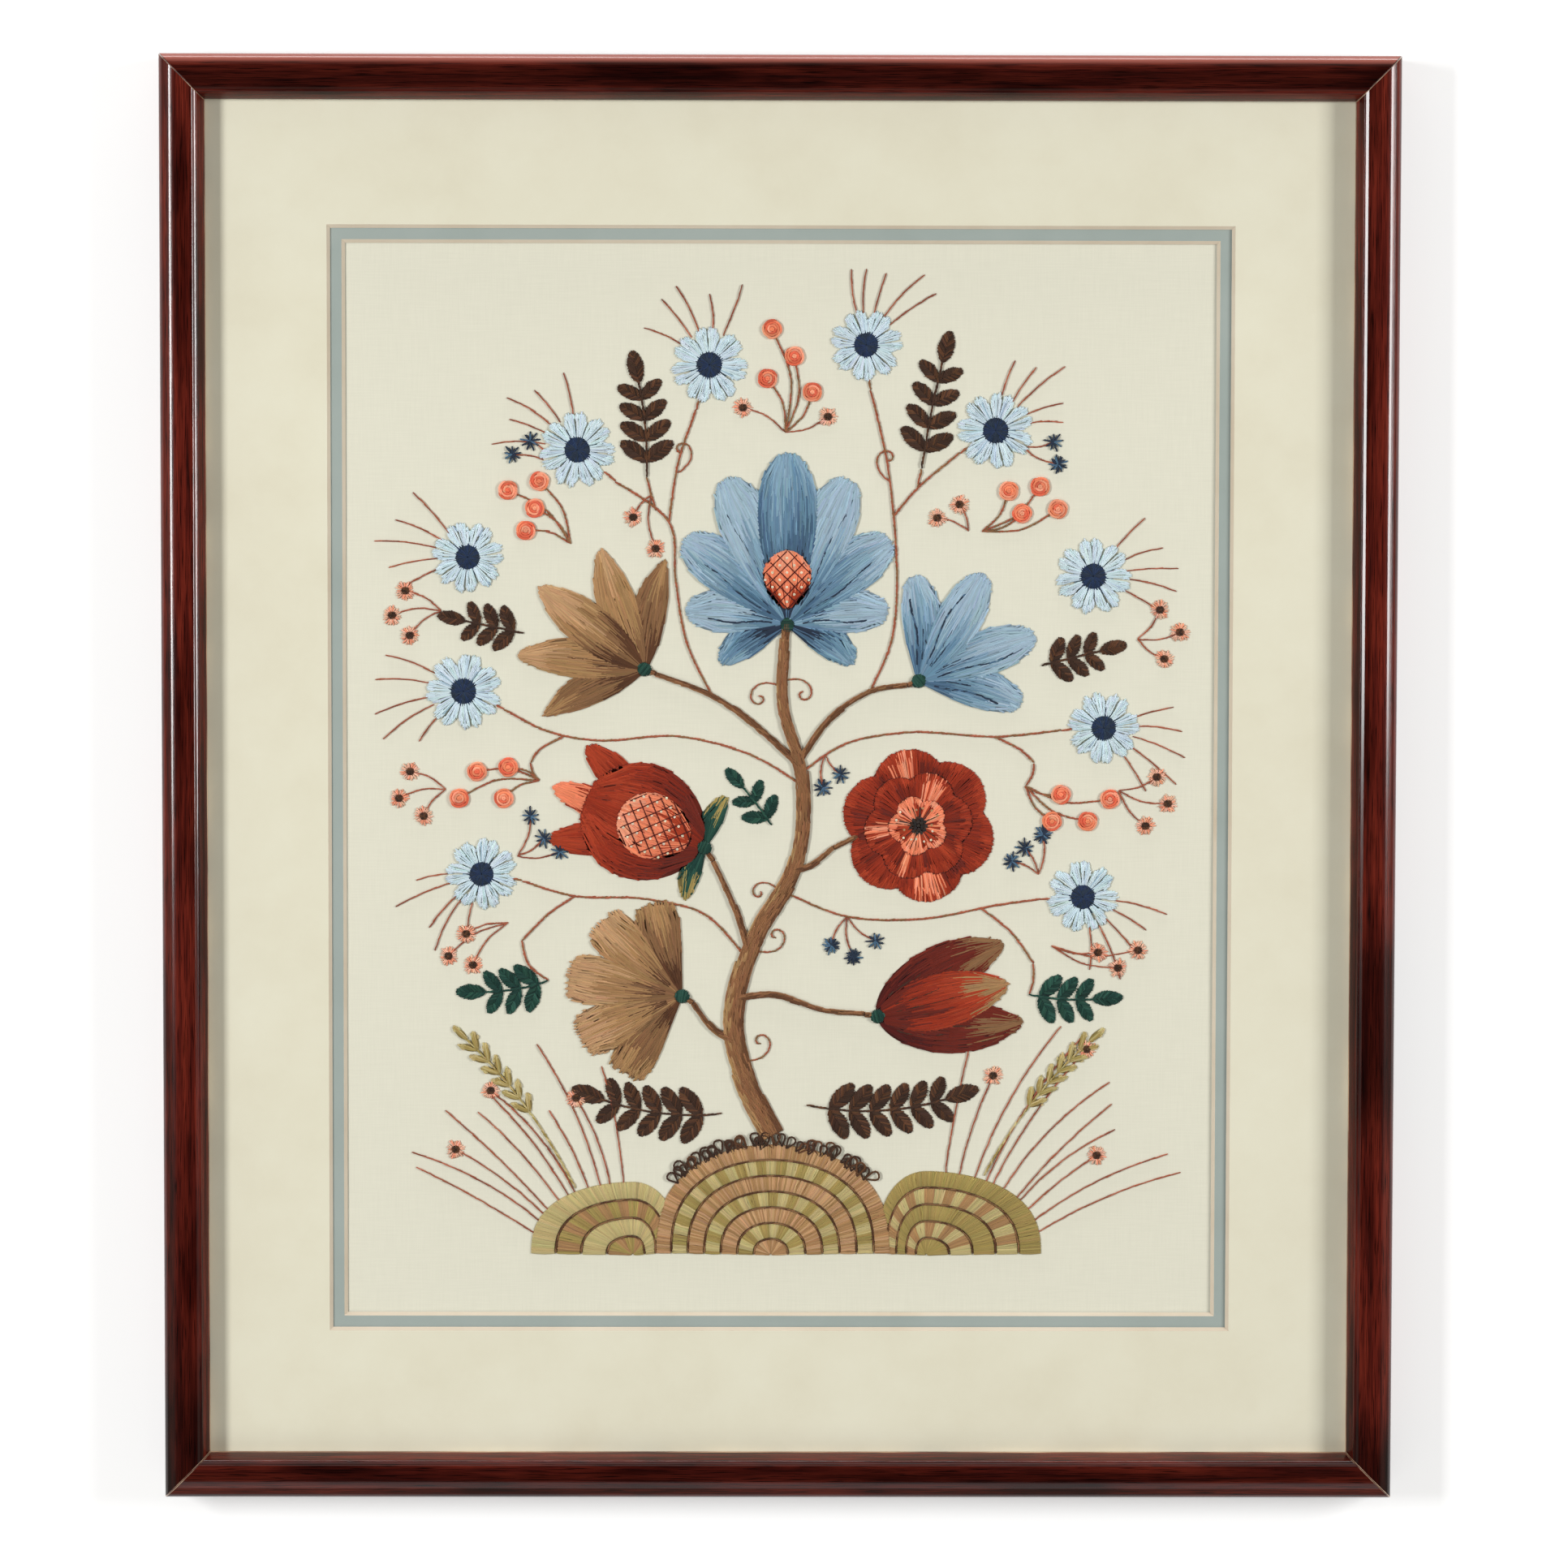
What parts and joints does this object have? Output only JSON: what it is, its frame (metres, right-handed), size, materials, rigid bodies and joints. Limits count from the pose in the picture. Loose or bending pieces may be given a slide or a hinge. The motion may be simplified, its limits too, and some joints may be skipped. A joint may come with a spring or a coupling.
{
  "type": "framed crewel embroidery panel",
  "caption": "Crewel wool flowering tree stitched on linen, behind a cream and grey-blue double mat in a moulded mahogany-coloured wood frame.",
  "frame": {"origin": "the point under the middle of the frame, on the plane of the rails' backs", "axes": "+Z out of the picture's face, +Y towards the picture's top, +X to the viewer's right; the panel lies on its back"},
  "size_m": [0.552, 0.646, 0.025],
  "materials": {
    "mahogany_lacquer": "glossy dark red-brown lacquer",
    "cream_card": "matte cream mat board with a pale core",
    "grey_blue_card": "matte grey-blue mat board with a pale core",
    "linen_cloth": "fine plain-weave off-white linen",
    "grey_board": "plain backing board",
    "stem_brown_wool": "two-ply crewel wool, matte",
    "tan_wool": "two-ply crewel wool, matte",
    "khaki_wool": "two-ply crewel wool, matte",
    "olive_wool": "two-ply crewel wool, matte",
    "blue_wool": "two-ply crewel wool, matte",
    "rust_wool": "two-ply crewel wool, matte",
    "maroon_wool": "two-ply crewel wool, matte",
    "coral_wool": "two-ply crewel wool, matte",
    "dark_brown_wool": "two-ply crewel wool, matte",
    "dark_green_wool": "two-ply crewel wool, matte",
    "light_blue_floss": "stranded floss with a soft shine",
    "navy_wool": "two-ply crewel wool, matte"
  },
  "bodies": {
    "root": {"bellflower": "blue_wool", "berries_1": "coral_wool", "berries_2": "coral_wool", "berries_3": "coral_wool", "berries_4": "coral_wool", "berries_5": "coral_wool", "branches": "stem_brown_wool", "carnation": "tan_wool", "fern_1": "dark_brown_wool", "fern_2": "dark_brown_wool", "fern_3": "dark_brown_wool", "fern_4": "dark_brown_wool", "fern_5": "dark_brown_wool", "fern_6": "dark_brown_wool", "flower_10_heart": "navy_wool", "flower_10_petals": "light_blue_floss", "flower_1_heart": "navy_wool", "flower_1_petals": "light_blue_floss", "flower_2_heart": "navy_wool", "flower_2_petals": "light_blue_floss", "flower_3_heart": "navy_wool", "flower_3_petals": "light_blue_floss", "flower_4_heart": "navy_wool", "flower_4_petals": "light_blue_floss", "flower_5_heart": "navy_wool", "flower_5_petals": "light_blue_floss", "flower_6_heart": "navy_wool", "flower_6_petals": "light_blue_floss", "flower_7_heart": "navy_wool", "flower_7_petals": "light_blue_floss", "flower_8_heart": "navy_wool", "flower_8_petals": "light_blue_floss", "flower_9_heart": "navy_wool", "flower_9_petals": "light_blue_floss", "frame_rail_bottom": "mahogany_lacquer", "frame_rail_left": "mahogany_lacquer", "frame_rail_right": "mahogany_lacquer", "frame_rail_top": "mahogany_lacquer", "hill_left": "khaki_wool", "hill_middle": "tan_wool", "hill_right": "olive_wool", "inner_mat": "grey_blue_card", "leaves_1": "dark_green_wool", "leaves_2": "dark_green_wool", "leaves_3": "dark_green_wool", "lily": "tan_wool", "linen": "linen_cloth", "mount_board": "grey_board", "outer_mat": "cream_card", "palmette_heart": "coral_wool", "palmette_petals": "blue_wool", "pomegranate_heart": "coral_wool", "pomegranate_skin": "rust_wool", "rose_heart": "coral_wool", "rose_inner": "rust_wool", "rose_outer": "maroon_wool", "tulip": "maroon_wool", "wheat_1": "olive_wool", "wheat_2": "olive_wool"}
  },
  "joints": []
}
